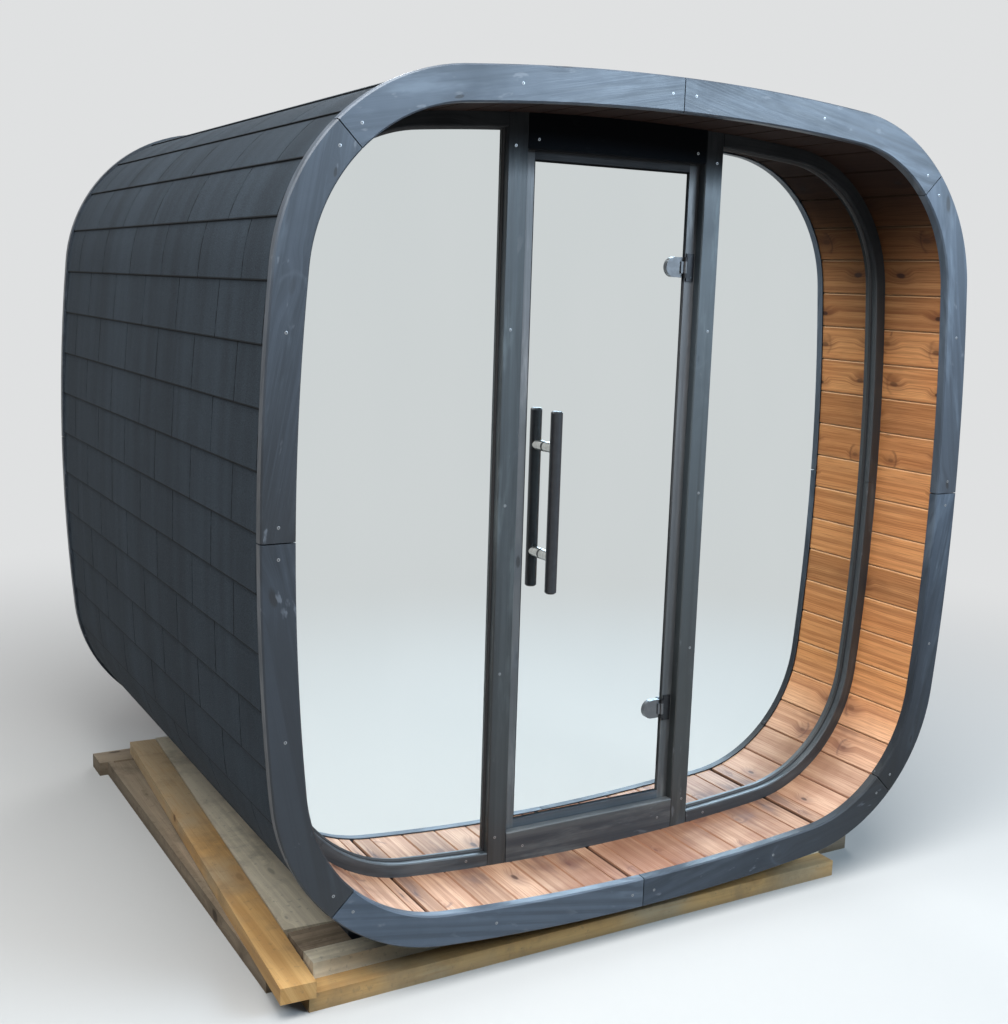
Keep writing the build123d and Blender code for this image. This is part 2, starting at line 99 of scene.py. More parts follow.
# The nodes of one tree, for shaders and for geometry alike.
class NodeNet:
    def __init__(self, tree):
        self.tree = tree

    def add(self, kind, settings=None, sockets=None, out=0):
        node = self.tree.nodes.new(kind)
        for key, value in (settings or {}).items():
            setattr(node, key, value)
        for key, value in (sockets or {}).items():
            if isinstance(value, Wire):
                self.tree.links.new(value.socket, node.inputs[key])
            else:
                node.inputs[key].default_value = value
        return Wire(self, node.outputs[out])

    def maths(self, operation, *values):
        return self.add("ShaderNodeMath", {"operation": operation}, dict(enumerate(values)))

    def out(self, wire, name):
        for socket in wire.socket.node.outputs:
            if socket.name == name and socket.enabled:
                return Wire(self, socket)
        raise KeyError(name)

    def step(self, value, low, high):
        sockets = {"Value": value, "From Min": low, "From Max": high}
        return self.add("ShaderNodeMapRange", {"interpolation_type": "SMOOTHSTEP"}, sockets)

    def blend(self, factor, first, second, mode="MIX"):
        settings = {"data_type": "RGBA", "blend_type": mode}
        colours = [c if isinstance(c, Wire) else (*c, 1.0) for c in (first, second)]
        return self.add("ShaderNodeMix", settings, {0: factor, 6: colours[0], 7: colours[1]}, out=2)

    def noise(self, vector, scale, detail=3.0, rough=0.5):
        sockets = {"Vector": vector, "Scale": scale, "Detail": detail, "Roughness": rough}
        return self.add("ShaderNodeTexNoise", {"noise_dimensions": "3D"}, sockets)

    def stretch(self, vector, location=(0, 0, 0), rotation=(0, 0, 0), scale=(1, 1, 1), kind="POINT"):
        sockets = {"Vector": vector, "Location": location, "Rotation": rotation, "Scale": scale}
        return self.add("ShaderNodeMapping", {"vector_type": kind}, sockets)

    def vector(self, x, y, z):
        return self.add("ShaderNodeCombineXYZ", {}, {"X": x, "Y": y, "Z": z})

    def split(self, vector):
        parts = self.add("ShaderNodeSeparateXYZ", {}, {0: vector})
        return [Wire(self, parts.socket.node.outputs[k]) for k in range(3)]

    def bump(self, height, strength, distance):
        return self.add("ShaderNodeBump", {}, {"Height": height, "Strength": strength, "Distance": distance})

    # Colours laid one over another, each with its amount
    def layers(self, grain, *coats):
        for amount, colour in coats:
            grain = self.blend(amount, grain, colour)
        return grain

    def shape(self, source):
        return self.out(self.add("GeometryNodeObjectInfo", {}, {"Object": source}), "Geometry")

    def store(self, geometry, name, value, kind="FLOAT", domain="POINT"):
        settings = {"data_type": kind, "domain": domain}
        sockets = {"Geometry": geometry, "Name": name, "Value": value}
        return self.add("GeometryNodeStoreNamedAttribute", settings, sockets)

    def stored(self, name):
        return self.add("GeometryNodeInputNamedAttribute", {"data_type": "FLOAT_VECTOR"}, {"Name": name})

    def move(self, geometry, place):
        return self.add("GeometryNodeSetPosition", {}, {"Geometry": geometry, "Position": place})

    def copies(self, points, source, **sockets):
        sockets.update({"Points": points, "Instance": self.shape(source)})
        return self.add("GeometryNodeInstanceOnPoints", {}, sockets)

    def random(self, seed, low=0.0, high=1.0):
        sockets = {2: low, 3: high, "Seed": seed}
        return self.add("FunctionNodeRandomValue", {"data_type": "FLOAT"}, sockets, out=1)


socketNames = {
    "colour": "Base Color",
    "roughness": "Roughness",
    "metallic": "Metallic",
    "specular": "Specular IOR Level",
    "normal": "Normal",
}


# A material: its nodes, its shader, and the coordinates of its piece
class Finish(NodeNet):
    def __init__(self, name):
        self.material = bpy.data.materials.new(name)
        self.material.use_nodes = True
        super().__init__(self.material.node_tree)
        self.shader = self.tree.nodes["Principled BSDF"]

    def set(self, **sockets):
        for key, value in sockets.items():
            socket = self.shader.inputs[socketNames[key]]
            if isinstance(value, Wire):
                self.tree.links.new(value.socket, socket)
            elif key == "colour":
                socket.default_value = (*value, 1.0)
            else:
                socket.default_value = value
        return self.material

    def place(self):
        return self.out(self.add("ShaderNodeTexCoord"), "Object")

    def uv(self):
        return self.out(self.add("ShaderNodeTexCoord"), "UV")

    def attribute(self, name):
        return self.out(self.add("ShaderNodeAttribute", {"attribute_name": name}), "Fac")


# Wood in board coordinates: x along the grain, y across it. Knots are dark spots with a soft halo.
# Some are drawn as half a ring beside the halo instead.
def woodFields(net, board, look):
    x, y, z = net.split(board)
    ripple = net.noise(net.vector(x * 9.0, y * 14.0, z), 1.0, 2.0)
    pointX = x * look["knotsAlong"] + ripple * 0.16
    pointY = y * look["knotsAcross"] + ripple * 0.1
    settings = {"voronoi_dimensions": "2D", "feature": "F1"}
    sockets = {"Vector": net.vector(pointX, pointY, 0.0), "Scale": 1.0, "Randomness": 0.8}
    cell = net.add("ShaderNodeTexVoronoi", settings, sockets)
    chance, large, other = net.split(net.out(cell, "Color"))
    nearX, nearY = net.split(net.out(cell, "Position"))[:2]
    there = net.step(chance, look["knotShare"], look["knotShare"] + 0.02)
    swirled = net.step(other, 0.5, 0.52)
    relative = net.out(cell, "Distance") / (look["knotSize"] * (0.5 + large))
    knot = there * (1.0 - swirled * 0.6) * (1.0 - net.step(relative, 0.45, 0.95))
    halo = there * (1.0 - net.step(relative, 0.7, 3.4))
    offX = (pointX - nearX) / look["knotsAlong"] / look["arcLong"]
    offY = (pointY - nearY) / look["knotsAcross"] / look["arcWide"]
    reach = net.maths("SQRT", offX * offX + offY * offY) + ripple * 0.7 - 0.35
    rim = (1.0 - (reach - 1.0).size() / 0.26).clamp()
    side = offX * ((large > 0.5) * 2.0 - 1.0)
    arc = there * swirled * rim * net.step(side, -0.25, 0.45)
    wander = net.noise(net.vector(x * 1.1, y * 3.0, z), 1.0, 2.0) - 0.5
    bend = y + wander * look["wander"] + halo * look["knotBend"]
    bands = net.noise(net.vector(x * 0.3, bend * look["bands"], z), 1.0, 2.0, 0.5)
    fibres = net.noise(net.vector(x * 6.0, bend * look["fibres"], z), 1.0, 3.0, 0.6)
    cloud = net.noise(net.vector(x * 2.2, y * 9.0, z * 1.7), 1.0, 3.0, 0.55)
    return {"knot": knot, "halo": halo, "arc": arc, "bands": bands, "fibres": fibres, "cloud": cloud}


liningLook = {
    "pale": (0.70, 0.325, 0.125),
    "mid": (0.56, 0.218, 0.074),
    "dark": (0.22, 0.062, 0.020),
    "stain": (0.13, 0.05, 0.026),
    "knot": (0.05, 0.018, 0.010),
    # edge: pale board edges on the walls, a painted highlight
    "edge": (0.70, 0.42, 0.22),
    "knotsAlong": 4.4,
    "knotsAcross": 8.6,
    "knotShare": 0.30,
    "knotSize": 0.078,
    "arcLong": 0.024,
    "arcWide": 0.032,
    "arcShare": 0.6,
    "knotBend": 0.016,
    "wander": 0.012,
    "bands": 58.0,
    "fibres": 330.0,
    "roughness": 0.42,
    "tone": 0.42,
    # painted roof shade on the lining: its near-black colour, and the heights where it starts and where it is
    # full
    "paintedRoofShade": (0.013, 0.0055, 0.004),
    "paintedShadeLow": 1.62,
    "paintedShadeHigh": 2.22,
}
floorLook = dict(
    liningLook,
    pale=(0.65, 0.43, 0.30),
    mid=(0.48, 0.275, 0.18),
    dark=(0.25, 0.110, 0.065),
    stain=(0.17, 0.105, 0.10),
    knot=(0.10, 0.05, 0.036),
    edge=(0.33, 0.16, 0.095),
    dappledShadeAndWear=(0.22, 0.085, 0.05),
    oilAndShade=(0.66, 0.59, 0.52),
    inward=(-0.97, -0.79),
    wornAndSheenLow=0.26,
    wornAndSheenHigh=0.62,
)


# Colour, wood fields and bump of an oiled board. The look holds colours, or wires that blend them.
def oiledGrain(net, board, tone, look, knots=liningLook):
    wood = woodFields(net, board, knots)
    lines = net.step(wood["bands"], 0.42, 0.62) * (0.5 + wood["halo"] * 0.35)
    grain = net.layers(
        look["pale"],
        (lines, look["dark"]),
        (net.step(wood["cloud"], 0.36, 0.68) * 0.6, look["mid"]),
        (net.step(wood["fibres"], 0.44, 0.68) * 0.5, look["dark"]),
    )
    shade = net.vector(*[0.80 + tone * liningLook["tone"]] * 3)
    grain = net.layers(
        net.blend(1.0, grain, shade, "MULTIPLY"),
        (wood["halo"] * 0.35, look["stain"]),
        (wood["arc"] * look["arcShare"], look["stain"]),
        (wood["knot"] * 0.92, look["knot"]),
    )
    height = wood["fibres"] * 0.5 + wood["bands"] * 0.4 - wood["knot"] * 0.6
    return grain, wood, net.bump(height, 0.3, 0.001)


# Lining boards. Low on the tube the oil has worn to a paler, greyer red, which also stands in for a painted
# sky sheen. Under the roof the boards are painted near-black as painted shade.
def oiledBoards(name, halfBoard, ease):
    net = Finish(name)
    u, v = net.split(net.uv())[:2]
    y, z = net.split(net.place())[1:]
    tone = net.attribute("tone")
    # Lower on the tube the boards blend to the floor's colours: worn oil, and a painted sky sheen
    worn = 1.0 - net.step(z, floorLook["wornAndSheenLow"], floorLook["wornAndSheenHigh"])
    keys = ("pale", "mid", "dark", "stain", "knot", "edge")
    look = {key: net.blend(worn, liningLook[key], floorLook[key]) for key in keys}
    look["arcShare"] = liningLook["arcShare"]
    lane = ((tone * 60.0).floor() + 0.5) / liningLook["knotsAcross"]
    board = net.vector(u + tone * 31.0, v + lane, tone * 23.0)
    grain, wood, bump = oiledGrain(net, board, tone, look)
    smudge = net.noise(net.vector(u * 3.1, v * 8.0, tone * 5.0), 1.0, 4.0, 0.6)
    dappledShadeAndWear = net.noise(net.stretch(net.place(), scale=(2.4, 3.4, 2.4)), 1.0, 3.0, 0.6)
    # Darker and redder towards the glass wall, low on the tube: less weathered oil, and painted shade
    inward = net.step(y + dappledShadeAndWear * 0.12, *floorLook["inward"])
    fromMiddle = v.size()
    # Painted highlight: board edges are paler on the walls; on the floor the edges are darker joints
    edge = net.step(fromMiddle, halfBoard - ease * 1.15, halfBoard - ease * 0.85)
    # Painted shade: the boards are painted near-black under the roof
    paintedRoofShade = net.step(z, liningLook["paintedShadeLow"], liningLook["paintedShadeHigh"])
    deep = net.step(fromMiddle, halfBoard + ease * 0.6, halfBoard + ease * 2.4)
    # Smudges, and dark patches low on the tube that stand for wear and for painted dappled shadow
    grain = net.layers(
        grain,
        (net.step(smudge, 0.54, 0.70) * (0.2 + worn * 0.4), look["stain"]),
        (net.step(dappledShadeAndWear, 0.44, 0.66) * worn * 0.6, floorLook["dappledShadeAndWear"]),
    )
    grain = net.layers(
        net.blend(inward * worn, grain, floorLook["oilAndShade"], "MULTIPLY"),
        (edge * 0.7, look["edge"]),
        (paintedRoofShade * 0.985, liningLook["paintedRoofShade"]),
        (deep * 0.92, look["knot"]),
    )
    rough = liningLook["roughness"] + wood["fibres"] * 0.16 - wood["knot"] * 0.1 + paintedRoofShade * 0.4
    return net.set(colour=grain, roughness=rough, normal=bump, specular=0.22)


backLook = dict(liningLook, arcShare=0.2, knotShare=0.5, boardWidth=0.1148)


# Upright boards of the back wall, told apart by their place
def uprightBoards():
    net = Finish("backBoards")
    x, y, z = net.split(net.place())
    count = (x / backLook["boardWidth"]).floor()
    tone = net.add("ShaderNodeTexWhiteNoise", {"noise_dimensions": "1D"}, {"W": count})
    board = net.vector(z + tone * 31.0, x + y, tone * 23.0)
    grain, wood, bump = oiledGrain(net, board, tone, backLook, backLook)
    return net.set(colour=grain, roughness=0.5, normal=bump, specular=0.3)


stainLook = {
    "deep": (0.014, 0.0195, 0.027),
    "worn": (0.034, 0.044, 0.058),
    "rubbed": (0.060, 0.075, 0.093),
    "knot": (0.006, 0.007, 0.009),
    "scuff": (0.19, 0.21, 0.24),
    "knotsAlong": 3.4,
    "knotsAcross": 9.0,
    "knotShare": 0.62,
    "knotSize": 0.085,
    "arcLong": 0.028,
    "arcWide": 0.030,
    "arcShare": 0.5,
    "knotBend": 0.016,
    "wander": 0.014,
    "bands": 44.0,
    "fibres": 260.0,
    "roughness": 0.36,
    "specular": 0.55,
    "ringwise": False,
}


# Coordinates round the tube: angle round it, place along it, and how far out
def roundTube(net, place):
    x, y, z = net.split(place)
    up = z - tube["centre"].z
    squareness = 5.0
    outward = (x.size() ** squareness + up.size() ** squareness) ** (1.0 / squareness)
    return net.vector(net.maths("ARCTAN2", up, x), y, outward)


# Black stained wood. The grain runs at an angle in degrees in the XZ plane, or round the tube if None.
# It may be graded from one tone to another, by height or round the ring, as painted light and shade.
# Under the porch roof it is painted near-black and rougher, as painted shade.
def stainedWood(name, angle, place, look):
    net = Finish(name)
    if angle is None:
        turned = roundTube(net, net.place())
    else:
        turned = net.stretch(net.place(), place, (0, -math.radians(angle), 0), (1, 1, 1), "TEXTURE")
    x, y, z = net.split(turned)
    worldZ = net.split(net.place())[2]
    width = z + y * 0.6
    wood = woodFields(net, net.vector(x, width, y + place[0] * 3.0 + place[2] * 5.0), look)
    wear = net.noise(net.place(), 4.5, 4.0, 0.6)
    smear = net.noise(net.vector(x * 3.0, width * 16.0, y * 4.0), 1.0, 4.0, 0.62)
    chips = net.noise(net.vector(x * 15.0, width * 38.0, y * 30.0), 1.0, 3.0, 0.55)
    where = net.noise(net.place(), 2.6, 2.0, 0.5)
    grain = net.layers(
        look["deep"],
        (net.step(wood["bands"], 0.36, 0.64) * 0.6, look["worn"]),
        (net.step(wood["fibres"], 0.45, 0.75) * 0.4, look["worn"]),
        (net.step(wear, 0.42, 0.7) * 0.5, look["deep"]),
        (net.step(smear, 0.52, 0.74) * 0.6, look["rubbed"]),
    )
    # Painted light and shade: the colour is scaled from one tone to another
    if "paintedLightTones" in look:
        course = net.split(roundTube(net, net.place()))[0] if look["ringwise"] else worldZ
        sockets = {"Value": course, "From Min": look["span"][0], "From Max": look["span"][1]}
        shade = net.blend(net.add("ShaderNodeMapRange", {}, sockets), *look["paintedLightTones"])
        grain = net.blend(1.0, grain, shade, "MULTIPLY")
    grain = net.layers(
        grain,
        (wood["halo"] * 0.35, look["worn"]),
        (wood["arc"] * look["arcShare"], look["rubbed"]),
        (wood["knot"] * 0.75, look["knot"]),
        (net.step(chips, 0.63, 0.72) * net.step(where, 0.43, 0.58) * 0.5, look["scuff"]),
    )
    rough = look["roughness"] + net.step(wear, 0.35, 0.75) * 0.14 + net.step(wood["fibres"], 0.4, 0.7) * 0.12
    # Painted shade: near-black and rougher under the porch roof
    if "paintedRoofShade" in look:
        paintedRoofShade = net.step(worldZ, *look["paintedRoofShade"])
        grain = net.blend(paintedRoofShade * 0.92, grain, look["knot"])
        rough = rough + paintedRoofShade * 0.5
    bump = net.bump(wood["fibres"] * 0.5 + wood["bands"] * 0.35 - wood["knot"] * 0.4, 0.4, 0.001)
    return net.set(colour=grain, roughness=rough, normal=bump, specular=look["specular"])


shingleLook = {
    "stone": (0.040, 0.052, 0.064),
    "dark": (0.020, 0.0265, 0.034),
    "fleck": (0.082, 0.099, 0.114),
    "edge": (0.003, 0.0035, 0.004),
    "grain": 400.0,
    "streak": (0.4, 6.0, 0.4),
    "mottle": 13.0,
    "ragged": 21.0,
    "patch": 2.6,
}


def mineralShingle():
    look = shingleLook
    net = Finish("mineralShingle")
    place = net.place()
    tone = net.attribute("tone")
    along, across = net.split(net.uv())[:2]
    grit = net.noise(place, look["grain"], 2.0, 0.7)
    streak = net.noise(net.stretch(place, scale=look["streak"]), 1.0, 4.0, 0.6)
    patch = net.noise(place, look["patch"], 3.0, 0.55)
    mottle = net.noise(place, look["mottle"], 3.0, 0.6)
    ragged = net.noise(place, look["ragged"], 2.0, 0.6)
    # Dark lower cut edge, painted shade and dirt just under the next course, and painted shade in the slots
    # at the tab's sides
    low = 1.0 - net.step(along, -0.486, -0.472)
    shadeAndDirtUnderCourse = net.step(along, 0.474, 0.486)
    side = net.step(across.size(), 0.4925, 0.4965) * net.step(ragged, 0.42, 0.56)
    shade = 0.52 + tone * 0.06 + net.step(streak, 0.32, 0.70) * 0.44 + mottle * 0.26 + patch * 0.2
    stones = net.layers(
        look["dark"],
        (net.step(grit, 0.36, 0.66), look["stone"]),
        (net.step(grit, 0.64, 0.74) * 0.4, look["fleck"]),
    )
    base = net.layers(
        net.blend(1.0, stones, net.vector(shade, shade, shade), "MULTIPLY"),
        ((low * 0.85 + shadeAndDirtUnderCourse * 0.9).clamp(), look["edge"]),
        (side * 0.7, look["edge"]),
    )
    return net.set(colour=base, roughness=0.8, normal=net.bump(grit, 0.5, 0.0012), specular=0.16)


glassLook = {"tint": (0.81, 0.85, 0.85), "haze": (0.87, 0.90, 0.90), "roughness": 0.01}


def mirrorGlass():
    net = Finish("mirrorGlass")
    haze = net.noise(net.stretch(net.place(), scale=(1, 1, 0.4)), 2.6, 3.0, 0.5)
    rough = glassLook["roughness"] + net.step(haze, 0.5, 0.8) * 0.02
    colour = net.blend(net.step(haze, 0.3, 0.8) * 0.3, glassLook["tint"], glassLook["haze"])
    return net.set(colour=colour, roughness=rough, metallic=1.0)


# Coated metals: colour, roughness and metallic
metals = {
    "screwSteel": ((0.26, 0.27, 0.28), 0.36, 1.0),
    "darkSteel": ((0.05, 0.052, 0.055), 0.28, 1.0),
    "darkMetal": ((0.135, 0.142, 0.152), 0.28, 1.0),
    "plateMetal": ((0.04, 0.042, 0.046), 0.32, 1.0),
    "barMetal": ((0.022, 0.0245, 0.0285), 0.34, 0.2),
}


def coatedMetal(name):
    colour, roughness, metallic = metals[name]
    net = Finish(name)
    grit = net.noise(net.place(), 60.0, 3.0, 0.6)
    lighter = tuple(c * 1.5 + 0.01 for c in colour)
    mixed = net.blend(net.step(grit, 0.4, 0.75) * 0.35, colour, lighter)
    rough = roughness + grit * 0.12
    return net.set(colour=mixed, roughness=rough, metallic=metallic, normal=net.bump(grit, 0.08, 0.0006))


sleeveLook = {
    "washer": 0.0085,
    "dark": (0.46, 0.45, 0.43),
    "bright": (0.66, 0.65, 0.62),
    "rubber": (0.012, 0.012, 0.013),
}


# Satin sleeve with a black washer where it meets the glass
def sleeveMetal():
    look = sleeveLook
    net = Finish("sleeveMetal")
    low, high = nodeBox("door_glass")
    fromGlass = (net.split(net.place())[1] - (low[1] + high[1]) / 2).size()
    metal = net.step(fromGlass, look["washer"], look["washer"] + 0.0004)
    brushed = net.noise(net.stretch(net.place(), scale=(40, 400, 40)), 1.0, 3.0, 0.6)
    bright = net.blend(net.step(brushed, 0.3, 0.7), look["dark"], look["bright"])
    colour = net.blend(metal, look["rubber"], bright)
    return net.set(colour=colour, roughness=0.55 - metal * 0.27, metallic=metal)


def rubberSeal():
    net = Finish("rubberSeal")
    colour = net.blend(net.noise(net.place(), 90.0, 2.0), sealLook["black"], sealLook["dusty"])
    return net.set(colour=colour, roughness=0.55)


timberLooks = {
    "pale": dict(
        stainLook,
        deep=(0.46, 0.235, 0.075),
        worn=(0.70, 0.42, 0.17),
        dirt=(0.26, 0.18, 0.10),
        weather=(0.46, 0.375, 0.25),
        knot=(0.14, 0.06, 0.02),
        roughness=0.6,
    ),
    "grey": dict(
        stainLook,
        deep=(0.62, 0.52, 0.37),
        worn=(0.90, 0.79, 0.59),
        dirt=(0.20, 0.165, 0.115),
        weather=(0.66, 0.575, 0.43),
        knot=(0.08, 0.065, 0.045),
        roughness=0.78,
    ),
    "dark": dict(
        stainLook,
        deep=(0.15, 0.11, 0.072),
        worn=(0.38, 0.29, 0.20),
        dirt=(0.075, 0.052, 0.034),
        weather=(0.25, 0.20, 0.14),
        knot=(0.03, 0.02, 0.014),
        roughness=0.82,
    ),
}


# Rough ground timber. The grain runs along X or Y.
def groundTimber(name, kind, alongY):
    look = timberLooks[kind]
    net = Finish(name)
    x, y, z = net.split(net.place())
    along, across = (y, x) if alongY else (x, y)
    wood = woodFields(net, net.vector(along, across + z * 0.5, z * 0.6), look)
    dirt = net.noise(net.place(), 6.0, 5.0, 0.65)
    speck = net.noise(net.place(), 55.0, 3.0, 0.6)
    patch = net.noise(net.place(), 1.9, 3.0, 0.6)
    rear = y * 0.14 if alongY else 0.0
    grain = net.layers(
        look["worn"],
        (net.step(wood["bands"], 0.34, 0.66) * 0.6, look["deep"]),
        (net.step(patch + rear, 0.42, 0.62) * 0.75, look["weather"]),
        (net.step(wood["fibres"], 0.4, 0.75) * 0.4, look["deep"]),
        (net.step(dirt, 0.46, 0.74) * 0.55, look["dirt"]),
        (net.step(speck, 0.6, 0.72) * 0.35, look["dirt"]),
        (wood["halo"] * 0.3, look["deep"]),
        (wood["knot"] * 0.8, look["knot"]),
        # darker towards the bottom, within 3 cm of the ground
        ((1.0 - net.step(z, 0.0, 0.03)) * 0.45, look["dirt"]),
    )
    bump = net.bump(wood["fibres"] * 0.6 + dirt * 0.4, 0.5, 0.002)
    return net.set(colour=grain, roughness=look["roughness"], normal=bump, specular=0.25)


def give(material, *nodes):
    for node in nodes:
        mesh = cadNodes[node].data
        mesh.materials.clear()
        mesh.materials.append(material)


# Outline of the tube, as in the CAD model. Its box and the boards' thickness come from the rings.
ringLow, ringHigh = nodeBox("back_fascia")
tube = {
    "half": ringHigh[0],
    "sideRadius": 6.700,
    "cornerRadius": 0.530,
    "centre": Vector((0.0, 0.0, (ringLow[2] + ringHigh[2]) / 2)),
    "front": nodeBox("front_fascia_top_right")[0][1],
    "back": ringHigh[1],
    "fascia": ringHigh[1] - ringLow[1],
    "lining": 0.084,
    "deck": 0.0112,
}
sideCentre = tube["half"] - tube["sideRadius"]
reach = tube["sideRadius"] - tube["cornerRadius"]
cornerOffset = (sideCentre + math.sqrt(2 * reach**2 - sideCentre**2)) / 2
sideSwing = math.atan2(cornerOffset, cornerOffset - sideCentre)


def quarterRun(inset):
    side = 2 * sideSwing * (tube["sideRadius"] - inset)
    return side, (math.pi / 2 - 2 * sideSwing) * (tube["cornerRadius"] - inset)


def outlineRun(inset):
    return 4 * sum(quarterRun(inset))


# Point and outward normal at a distance up from the middle of the right side
def outlineAt(distance, inset):
    side, corner = quarterRun(inset)
    quarter, along = divmod(distance + side / 2, side + corner)
    turn = quarter * math.pi / 2
    if along < side:
        angle = turn - sideSwing + along / (tube["sideRadius"] - inset)
        centre = Vector((math.cos(turn), 0, math.sin(turn))) * sideCentre
        radius = tube["sideRadius"] - inset
    else:
        angle = turn + sideSwing + (along - side) / (tube["cornerRadius"] - inset)
        diagonal = turn + math.pi / 4
        centre = Vector((math.cos(diagonal), 0, math.sin(diagonal))) * cornerOffset * math.sqrt(2)
        radius = tube["cornerRadius"] - inset
    normal = Vector((math.cos(angle), 0, math.sin(angle)))
    return centre + normal * radius + tube["centre"], normal


def outlineCurve(name, inset, count=1440):
    run = outlineRun(inset)
    curve = bpy.data.curves.new(name, "CURVE")
    curve.dimensions = "3D"
    spline = curve.splines.new("POLY")
    spline.points.add(count)
    for k in range(count + 1):
        spline.points[k].co = (*outlineAt(run * k / count, inset)[0], 1.0)
    path = bpy.data.objects.new(name, curve)
    scene.collection.objects.link(path)
    return path, run


# Helpers for meshes and geometry trees
def meshObject(name, verts, faces, uvs=None):
    mesh = bpy.data.meshes.new(name)
    mesh.from_pydata([tuple(v) for v in verts], [], faces)
    if uvs:
        layer = mesh.uv_layers.new(name="UVMap")
        for loop in mesh.loops:
            layer.data[loop.index].uv = uvs[loop.vertex_index]
    mesh.update()
    piece = bpy.data.objects.new(name, mesh)
    scene.collection.objects.link(piece)
    return piece


def faceOutward(piece):
    shell = bmesh.new()
    shell.from_mesh(piece.data)
    bmesh.ops.recalc_face_normals(shell, faces=shell.faces)
    shell.to_mesh(piece.data)
    shell.free()


# Starts a tree with a named input for each of the values
def geometryTree(name, values):
    tree = bpy.data.node_groups.new(name, "GeometryNodeTree")
    tree.interface.new_socket("Geometry", in_out="OUTPUT", socket_type="NodeSocketGeometry")
    for label, value in values.items():
        kind = type(value).__name__.capitalize()
        tree.interface.new_socket(label, in_out="INPUT", socket_type="NodeSocket" + kind)
    net = NodeNet(tree)
    source = net.add("NodeGroupInput")
    return net, {label: net.out(source, label) for label in values}


# Ends a tree: real meshes, bent round the tube if an outline is given, in their material
def finishTree(net, placed, given):
    solid = net.add("GeometryNodeRealizeInstances", {}, {"Geometry": placed})
    if "Outline" in given:
        solid = wrapOnOutline(net, solid, net.shape(given["Outline"]), given["Run"])
    done = net.add("GeometryNodeSetMaterial", {}, {"Geometry": solid, "Material": given["Material"]})
    output = net.tree.nodes.new("NodeGroupOutput")
    net.tree.links.new(done.socket, output.inputs["Geometry"])
    return net.tree


def runTree(name, makeTree, values, smoothAngle=35):
    host = bpy.data.objects.new(name + "Host", bpy.data.meshes.new(name + "Host"))
    scene.collection.objects.link(host)
    modifier = host.modifiers.new("nodes", "NODES")
    modifier.node_group = makeTree(values)
    for item in modifier.node_group.interface.items_tree:
        if item.in_out == "INPUT":
            modifier[item.identifier] = values[item.name]
    bpy.context.view_layer.update()
    evaluated = host.evaluated_get(bpy.context.evaluated_depsgraph_get())
    mesh = bpy.data.meshes.new_from_object(evaluated)
    mesh.name = name
    bpy.data.objects.remove(host)
    mesh.polygons.foreach_set("use_smooth", [True] * len(mesh.polygons))
    mesh.set_sharp_from_angle(angle=math.radians(smoothAngle))
    piece = bpy.data.objects.new(name, mesh)
    scene.collection.objects.link(piece)
    faceOutward(piece)
    print("stage:", name, len(mesh.polygons), "faces")
    return piece


# Bends a flat layout round the tube: x along the outline, y along the tube, z outward
def wrapOnOutline(net, geometry, outline, run):
    x, y, z = net.split(net.add("GeometryNodeInputPosition"))
    sockets = {"Curves": outline, "Length": net.maths("WRAP", x, run, 0.0)}
    sampler = net.add("GeometryNodeSampleCurve", {"mode": "LENGTH"}, sockets)
    tangent = net.out(sampler, "Tangent")
    across = net.add("ShaderNodeVectorMath", {"operation": "CROSS_PRODUCT"}, {0: (0, 1, 0), 1: tangent})
    outward = net.add("ShaderNodeVectorMath", {"operation": "SCALE"}, {0: across, "Scale": z})
    place = net.out(sampler, "Position")
    for part in (outward, net.vector(0.0, y, 0.0)):
        place = net.add("ShaderNodeVectorMath", {"operation": "ADD"}, {0: place, 1: part})
    return net.move(geometry, place)


# Lining boards, as thick as the wall, each with eased edges
boardLook = {
    "boards": 68,
    "gap": 0.0014,
    "ease": 0.0034,
    "columns": 9,
    "wall": 0.072,
    "slit": 0.0115,
    "wallSeed": 11,
    "floorSeed": 4,
}

# Joints of the floor, in board widths along the outline. At the slits a board is sawn lengthwise.
floorJoints = [44, 44.37, 44.9, 45.88, 46.88, 47.86, 48.86, 49.8, 50.27, 50.75]
floorJoints += [51.75, 52.75, 53.8, 54.87, 55.95, 56.57, 57]
floorSlits = (44.37, 50.27, 56.57)


def boardBlank(pitch, length):
    look = boardLook
    half = (pitch - look["gap"]) / 2
    ease = look["ease"]
    flat = half - ease
    columns, wall = look["columns"], look["wall"]
    section = [(-flat + 2 * flat * k / columns, 0.0) for k in range(columns + 1)]
    section += [(half, ease * 1.1), (half, wall)]
    section += [(half - 2 * half * k / columns, wall) for k in range(1, columns)]
    section += [(-half, wall), (-half, ease * 1.1)]
    count = len(section)
    verts, uvs, faces = [], [], []
    for y in (-length / 2, length / 2):
        for x, z in section:
            verts.append((x, y, z))
            uvs.append((y, x + math.copysign(z, x)))
    for k in range(count):
        following = (k + 1) % count
        faces.append((k, following, following + count, k + count))
    faces.append(tuple(range(count - 1, -1, -1)))
    faces.append(tuple(range(count, 2 * count)))
    return meshObject("boardBlank", verts, faces, uvs)


def boardTree(values):
    net, given = geometryTree("boardTree", values)
    x, width = net.split(net.add("GeometryNodeInputPosition"))[:2]
    sized = net.store(net.shape(given["Places"]), "size", net.vector(width, 1.0, 1.0), "FLOAT_VECTOR")
    placed = net.copies(net.move(sized, net.vector(x, 0.0, 0.0)), given["Board"], Scale=net.stored("size"))
    return finishTree(net, net.store(placed, "tone", net.random(given["Seed"]), domain="INSTANCE"), given)


# Middle and width of each board between the joints, as points
def boardSpots(name, joints, pitch):
    half = boardLook["slit"] / pitch / 2
    spots = []
    for first, last in zip(joints[:-1], joints[1:]):
        low = first + (half if first in floorSlits else 0.0)
        high = last - (half if last in floorSlits else 0.0)
        spots.append((((low + high) / 2 + 0.5) * pitch, high - low, 0.0))
    return meshObject(name, spots, [])


